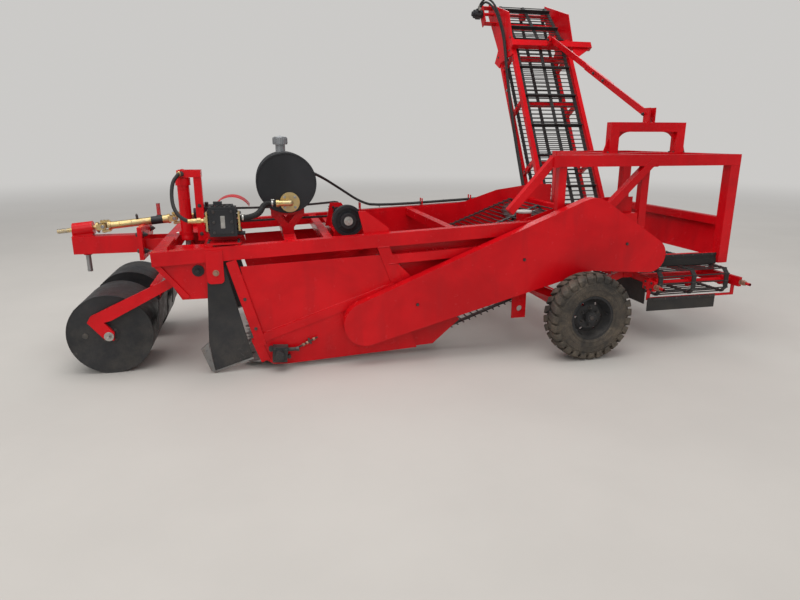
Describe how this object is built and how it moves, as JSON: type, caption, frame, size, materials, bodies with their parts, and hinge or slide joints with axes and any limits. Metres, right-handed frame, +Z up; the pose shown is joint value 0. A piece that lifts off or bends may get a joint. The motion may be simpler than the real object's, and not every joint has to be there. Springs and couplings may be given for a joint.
{
  "type": "towed potato harvester with side elevator",
  "caption": "Towed potato harvester with front rollers, digging web, cross conveyor and a raised side elevator on a braced portal.",
  "frame": {"origin": "middle of the machine's footprint on the ground", "axes": "+X to the rear of the machine, +Y to its right side where the elevator rises, +Z up"},
  "size_m": [5.6966, 4.1244, 3.4044],
  "materials": {
    "frame_red": "gloss",
    "black_steel": "satin",
    "bare_steel": "worn",
    "plated_gold": "satin",
    "hose_rubber": "matte",
    "web_rubber": "satin",
    "tyre_rubber": "matte",
    "cast_black": "satin",
    "cap_grey": "satin"
  },
  "bodies": {
    "frame": {"main_frame": "frame_red", "front_frame": "frame_red", "cylinder_post": "frame_red", "drawbar": "frame_red", "tow_pin": "bare_steel", "hydraulic_pump": "cast_black", "machine_stands": "frame_red", "gearbox": "cast_black", "gearbox_hood": "frame_red", "oil_tank": "black_steel", "tank_cap": "cap_grey", "fittings": "plated_gold", "hoses": "hose_rubber", "body_sides": "frame_red", "coulters": "black_steel", "shares": "bare_steel", "front_motor": "cast_black", "side_sheets": "frame_red", "chain_guard": "frame_red", "main_web": "web_rubber", "web_shafts": "bare_steel", "axle": "frame_red", "rear_frame": "frame_red", "portal": "frame_red", "rear_wall": "frame_red", "skirts": "hose_rubber", "cross_frame": "frame_red", "cross_end": "frame_red", "cross_web": "web_rubber"},
    "pulley": {"pulley_shaft": "bare_steel", "belt_pulley": "black_steel"},
    "elevator": {"elevator_frame": "frame_red", "elevator_web": "web_rubber", "elevator_head": "frame_red", "head_motor": "cast_black", "elevator_hoses": "hose_rubber"},
    "brace_outer": {"brace_sleeve": "frame_red"},
    "brace_inner": {"brace_bar": "frame_red"},
    "carriage": {"roller_arms": "frame_red"},
    "roller_left": {"roller_left": "black_steel"},
    "roller_right": {"roller_right": "black_steel"},
    "lift_barrel": {"cylinder_barrel": "frame_red"},
    "lift_rod": {"cylinder_rod": "bare_steel"},
    "wheel_left": {"rim_left": "black_steel", "tyre_left": "tyre_rubber"},
    "wheel_right": {"rim_right": "black_steel", "tyre_right": "tyre_rubber"},
    "input_shaft": {"pto_shaft": "plated_gold", "pto_tube": "black_steel"}
  },
  "joints": [
    {"name": "wheel_left_spin", "type": "hinge", "parent": "frame", "child": "wheel_left", "pos_m": [1.20332, -1.96917, 0.345], "axis": [0, 1, 0], "continuous": true},
    {"name": "wheel_right_spin", "type": "hinge", "parent": "frame", "child": "wheel_right", "pos_m": [1.20332, 0.27483, 0.345], "axis": [0, 1, 0], "continuous": true},
    {"name": "carriage_lift", "type": "hinge", "parent": "frame", "child": "carriage", "pos_m": [-1.73168, -0.84717, 0.78], "axis": [0, 1, 0], "range_deg": [-8, 12]},
    {"name": "roller_left_spin", "type": "hinge", "parent": "carriage", "child": "roller_left", "pos_m": [-2.40168, -1.25217, 0.3], "axis": [0, 1, 0], "continuous": true},
    {"name": "roller_right_spin", "type": "hinge", "parent": "carriage", "child": "roller_right", "pos_m": [-2.40168, -0.44217, 0.3], "axis": [0, 1, 0], "continuous": true},
    {"name": "lift_swing", "type": "hinge", "parent": "frame", "child": "lift_barrel", "pos_m": [-1.85668, -0.97717, 1.43], "axis": [0, 1, 0], "range_deg": [-0.32, 0.22]},
    {"name": "lift_stroke", "type": "slide", "parent": "lift_barrel", "child": "lift_rod", "axis": [0, 0, 1], "range_m": [-0.0175, 0.0261]},
    {"name": "elevator_lift", "type": "hinge", "parent": "frame", "child": "elevator", "pos_m": [2.20832, 0.01283, 0.52], "axis": [1, 0, 0], "range_deg": [-6, 6]},
    {"name": "brace_swing", "type": "hinge", "parent": "frame", "child": "brace_outer", "pos_m": [2.28332, -0.90717, 1.915], "axis": [1, 0, 0], "range_deg": [-5.33, 5.33]},
    {"name": "brace_slide", "type": "slide", "parent": "brace_outer", "child": "brace_inner", "axis": [0, 0.9101, 0.4143], "range_m": [-0.1729, 0.1729]},
    {"name": "pulley_spin", "type": "hinge", "parent": "frame", "child": "pulley", "pos_m": [-0.61668, -1.44717, 1.085], "axis": [0, 1, 0], "continuous": true},
    {"name": "input_spin", "type": "hinge", "parent": "frame", "child": "input_shaft", "pos_m": [-2.84668, -0.84717, 0.984], "axis": [0.9956, 0, 0.0941], "continuous": true}
  ],
  "couplings": [
    {"joint": "lift_swing", "follows": "carriage_lift", "ratio": -0.0258},
    {"joint": "lift_stroke", "follows": "carriage_lift", "m_per_rad": 0.124},
    {"joint": "brace_swing", "follows": "elevator_lift", "ratio": 0.8866},
    {"joint": "brace_slide", "follows": "elevator_lift", "m_per_rad": -1.6495}
  ]
}
